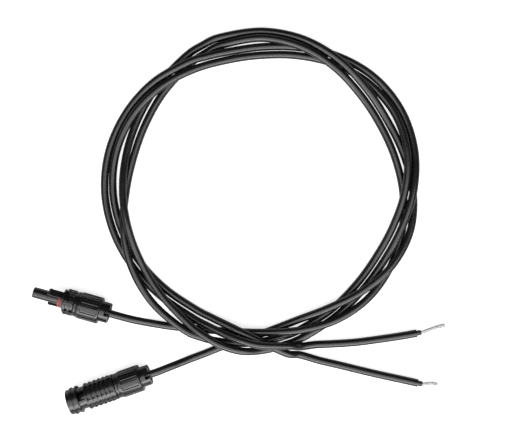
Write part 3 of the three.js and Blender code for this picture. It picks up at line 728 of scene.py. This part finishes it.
def crimp_rear(shoulder):
    """Profile points of the shoulder, the necked crimp barrel and its bore."""
    flange = shoulder + FIT_GAP
    end = shoulder + 5.5
    neck = 2.6 - CRIMP_SQUEEZE
    return [
        (flange, 3.7),
        (flange + 1, 3.7),
        (flange + 1, 2.6),
        (flange + 1.6, 2.6),
        (flange + 2.0, neck),
        (end - 0.9, neck),
        (end - 0.6, 2.6),
        (end, 2.6),
        (end, 1.6),
        (end - 3.6, 1.6),
    ]


socket_tube = turned(
    "socket_contact_tube",
    [
        (16, 0),
        (16, 2.4),
        (1.5, 2.4),
        (1.5, 2.75),
        (SOCKET_SHOULDER + FIT_GAP, 2.75),
        *crimp_rear(SOCKET_SHOULDER),
        (SOCKET_SHOULDER + 1.9, 0),
    ],
    0.08,
)
settle(socket_tube, SOCKET_AXIS)
dress(socket_tube, tinned_contact, "tinned_contact", LEADS_BODY, "socket_contact")

louvre_band = turned("louvre_band", [(5, 2.05), (5, 2.3), (10, 2.3), (10, 2.05)], 0.04)
combine(louvre_band, ring_of(block(6, 9, 0.5, 0.5, 3.3, 0), 8), "DIFFERENCE")
band_split = round_the_axis(block(4, 11, 0.5, 0.5, 3.3, 0), [22.5])
combine(louvre_band, band_split, "DIFFERENCE")
settle(louvre_band, SOCKET_AXIS)
dress(louvre_band, spring_leaf, "spring_steel", LEADS_BODY, "contact_spring_band")

PIN_NUT = PIN_NUT_START / MM
PIN_SHOULDER = PIN_NUT - SHOULDER_BACK
PIN_R = 2.0
contact_pin = turned(
    "contact_pin",
    [
        (8.0, 0),
        (8.0, 1.0),
        (8.4, 1.6),
        (9.2, PIN_R),
        (PIN_SHOULDER + FIT_GAP, PIN_R),
        *crimp_rear(PIN_SHOULDER),
        (PIN_SHOULDER + 1.9, 0),
    ],
    0.08,
)
settle(contact_pin, PIN_AXIS)
dress(contact_pin, tinned_contact, "tinned_contact", LEADS_BODY, "pin_contact")

# ---- cable clamps ------------------------------------------------------------------------------
# Behind each contact sit a slit spring clip that holds it in its chamber, a ribbed rubber seal on
# the cable, and a collet of six plastic fingers that the cap nut closes on to the jacket.
gland_rubber = finish(
    "gland_rubber", (0.03, 0.03, 0.032), (0.05, 0.05, 0.05), (0.6, 0.8), 3000, 0.00004
)
collet_black = finish(
    "collet_black", (0.013, 0.013, 0.014), (0.024, 0.024, 0.025), (0.4, 0.55), 2600, 0.00002
)
CABLE_BORE = 3.05


def retaining_clip(nut):
    front = nut - 5.3
    profile = [
        (front, 2.95),
        (front + 2.4, 2.95),
        (front + 2.4, 4.1),
        (front + 1.6, 4.1),
        (front, 3.5),
    ]
    clip = turned("clip", profile, 0.08)
    slit = round_the_axis(block(front - 1, front + 3.4, 1.2, 0.5, 5.1, 0), [90])
    return combine(clip, slit, "DIFFERENCE")


def gland_seal(nut):
    front = nut + 2.3
    profile = [(front, CABLE_BORE), (front, 4.7)]
    for i in range(3):
        x = front + 1.28 + 1.5 * i
        profile += [(x, 4.7), (x + 0.35, 4.25), (x + 0.75, 4.25), (x + 1.1, 4.7)]
    return turned("seal", [*profile, (front + 6.4, 4.7), (front + 6.4, CABLE_BORE)], 0.15)


def clamp_collet(nut):
    front = nut + CORE_LENGTH + FIT_GAP
    root = front + 2.1
    tip = front + 7
    profile = [
        (front, CABLE_BORE + 0.3),
        (front, 5.9),
        (root, 5.9),
        (tip, 3.85),
        (tip, CABLE_BORE),
        (root, CABLE_BORE),
    ]
    collet = turned("collet", profile, 0.12)
    slot = block(root, tip + 1, 1.0, 0.5, 6.9, 0)
    return combine(collet, ring_of(slot, 6, 30), "DIFFERENCE")


for kind, axis, nut in (("socket", SOCKET_AXIS, SOCKET_NUT), ("pin", PIN_AXIS, PIN_NUT)):
    collet_body = f"{kind}_collet"
    for shape, name, material, slot_name, body, node in (
        (retaining_clip, "spring_clip", spring_leaf, "spring_steel", LEADS_BODY, "retaining_clip"),
        (gland_seal, "gland_seal", gland_rubber, "seal_grey", LEADS_BODY, "cable_seal"),
        (clamp_collet, "grip_collet", collet_black, "nut_plastic", collet_body, "clamp_collet"),
    ):
        piece = shape(nut)
        piece.name = piece.data.name = f"{kind}_{name}"
        settle(piece, axis)
        dress(piece, material, slot_name, body, f"{kind}_{node}")

# The wire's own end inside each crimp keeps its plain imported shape, and takes the wire's finishes.
for kind in ("socket", "pin"):
    for node, material in (("conductor_end", tinned_copper), ("insulation_end", inner_black)):
        inside = bpy.data.objects[f"{kind}_{node}"]
        inside.data.materials.clear()
        inside.data.materials.append(material)

# ---- cap nuts ----------------------------------------------------------------------------------
# A long black polyamide nut closes each cable end. It has a chamfered nose with one groove, twelve
# rounded grip pads, a shoulder, and a castellated crown round a flared cable hole.
NUT_R = 9.5
VALLEY_R = 8.9
CROWN_R = 7.2
CROWN_TOP = 25
nut_black = finish(
    "nut_black",
    (0.0042, 0.0042, 0.0045),
    (0.008, 0.008, 0.0085),
    (0.2, 0.3),
    2400,
    0.00003,
    cloud=130,
)


def cap_nut(nut):
    profile = [
        (0, 7.7),
        (0, 8.45),
        (0.4, 8.68),
        (1.9, 8.98),
        (2.1, 8.62),
        (2.5, 8.7),
        (2.7, 9.14),
        (4.5, NUT_R),
        (5, NUT_R),
        (5.3, VALLEY_R),
        (16.8, VALLEY_R),
        (17.1, NUT_R),
        (18.1, NUT_R),
        (18.6, 9.0),
        (18.6, CROWN_R),
        (CROWN_TOP, CROWN_R),
        (CROWN_TOP, 5.0),
        (22, 3.3),
        (17, 3.3),
        (17, 3.9),
        (10, CORE_R),
        (10, 7.7),
    ]
    shell = turned("nut", [(nut + x, r) for x, r in profile], 0.2)
    pad = block(nut + 4.7, nut + 17.3, 2.7, 7.9, NUT_R - 0.06, 0.42)
    combine(shell, ring_of(pad, 12), "UNION")
    gap = block(nut + CROWN_TOP - 3, nut + CROWN_TOP + 1.5, 3.8, 0.5, 8.6, 0.3)
    return combine(shell, ring_of(gap, 4), "DIFFERENCE")


for kind, axis, nut in (("socket", SOCKET_AXIS, SOCKET_NUT), ("pin", PIN_AXIS, PIN_NUT)):
    cap = cap_nut(nut)
    cap.name = cap.data.name = f"{kind}_screw_cap"
    settle(cap, axis)
    dress(cap, nut_black, "nut_plastic", f"{kind}_nut", f"{kind}_cap_nut")

# ---- pin connector barrel ----------------------------------------------------------------------
# The other moulding: a round shell that covers the latch arms, with two windows for their teeth, an
# inner sleeve that the nose goes into, and a long grip of six ring beads with deep pockets between.
SLEEVE_R = 5.45
MOUTH_R = 8.9
MOUTH_RING_R = 9.65
WAIST_R = 7.85
PAST_BARREL = 10.5
LADDER_R = 8.8
LADDER_RINGS = (13.55, 17.05, 20.5, 23.8, 27.0, 29.9)
LADDER_RING_WIDTH = 1.1
POCKET_WIDTH = 2.1
POCKET_FLOOR = 7.2
POCKET_ROWS = 6
POCKET_ROLL = 35.5
LAST_POCKET_END = 33.4
NECK_R = 9.0

barrel = turned(
    "pin_barrel",
    [
        (0, 7.05),
        (0, MOUTH_R),
        *beads((3.1,), 1.2, MOUTH_R, MOUTH_RING_R),
        (6.9, MOUTH_R),
        (6.9, MOUTH_RING_R),
        (8.1, MOUTH_RING_R),
        (8.1, WAIST_R),
        (13.3, WAIST_R),
        (13.3, LADDER_R),
        *beads(LADDER_RINGS, LADDER_RING_WIDTH, LADDER_R, 9.35),
        (31.5, LADDER_R),
        (31.5, NECK_R),
        *rear_core(PIN_NUT, NECK_R),
        (PIN_SHOULDER, 2.3),
        (23.2, 2.3),
        (23.2, 3.95),
        (3.1, 3.95),
        (3.1, SLEEVE_R),
        (13.7, SLEEVE_R),
        (13.7, 7.05),
    ],
)
combine(barrel, thread_ridge(PIN_NUT), "UNION")
window = block(8.2, 13.0, 6.4, SLEEVE_R + FIT_GAP, PAST_BARREL, 0)
combine(barrel, round_the_axis(window, (70, 250)), "DIFFERENCE")
for front, end in zip(LADDER_RINGS, (*LADDER_RINGS[1:], LAST_POCKET_END)):
    start = front + LADDER_RING_WIDTH
    pocket = block(start, end, POCKET_WIDTH, POCKET_FLOOR, PAST_BARREL, 0.3)
    combine(barrel, ring_of(pocket, POCKET_ROWS, POCKET_ROLL), "DIFFERENCE")
settle(barrel, PIN_AXIS)
dress(barrel, moulded_black, "housing_plastic", LEADS_BODY, "pin_housing")

# ---- table and light ---------------------------------------------------------------------------
# A plain white table top, which glows a little for the viewer only, so that it stays white. A broad
# soft box hangs overhead and to the connectors' side, with a brighter strip below it.
TABLE_WHITE = (0.5, 0.5, 0.5)
TABLE_SIZE = 8
TABLE_GLOW = 0.75
BROAD_BOX = {"tilt": 22, "distance": 1.25, "size": (2.4, 1.3), "power": 29}
STRIP_BOX = {"tilt": 58, "distance": 1.2, "size": (2.4, 0.5), "power": 30}
ROOM_LIGHT = 0.08

bpy.ops.mesh.primitive_plane_add(size=TABLE_SIZE, location=(0, 0, -0.0002))
table = bpy.context.object
table.name = "table_top"
table_white = bpy.data.materials.new("table_white")
table_white.use_nodes = True
table_shader = table_white.node_tree.nodes["Principled BSDF"]
table_shader.inputs["Base Color"].default_value = (*TABLE_WHITE, 1)
table_shader.inputs["Roughness"].default_value = 0.9
table_shader.inputs["Emission Color"].default_value = (1, 1, 1, 1)
seen_by = table_white.node_tree.nodes.new("ShaderNodeLightPath")
glow = table_white.node_tree.nodes.new("ShaderNodeMath")
glow.operation = "MULTIPLY"
glow.inputs[1].default_value = TABLE_GLOW
table_white.node_tree.links.new(seen_by.outputs["Is Camera Ray"], glow.inputs[0])
table_white.node_tree.links.new(glow.outputs["Value"], table_shader.inputs["Emission Strength"])
table.data.materials.append(table_white)


def soft_box(name, tilt, distance, size, power):
    """A soft box above the picture's middle, tilted from overhead towards the -Y side."""
    tilt = math.radians(tilt)
    direction = Vector((0, -math.sin(tilt), math.cos(tilt)))
    target = Vector((CAMERA_PLACE[0], CAMERA_PLACE[1], 0))
    bpy.ops.object.light_add(type="AREA", location=target + direction * distance)
    lamp = bpy.context.object
    lamp.name = name
    lamp.rotation_euler = (tilt, 0, 0)
    lamp.data.shape = "RECTANGLE"
    lamp.data.size, lamp.data.size_y = size
    lamp.data.energy = power


soft_box("broad_box", **BROAD_BOX)
soft_box("strip_box", **STRIP_BOX)

room = bpy.data.worlds.new("room")
room.use_nodes = True
room.node_tree.nodes["Background"].inputs["Color"].default_value = (1, 1, 1, 1)
room.node_tree.nodes["Background"].inputs["Strength"].default_value = ROOM_LIGHT
bpy.context.scene.world = room
bpy.context.scene.view_settings.view_transform = "Standard"
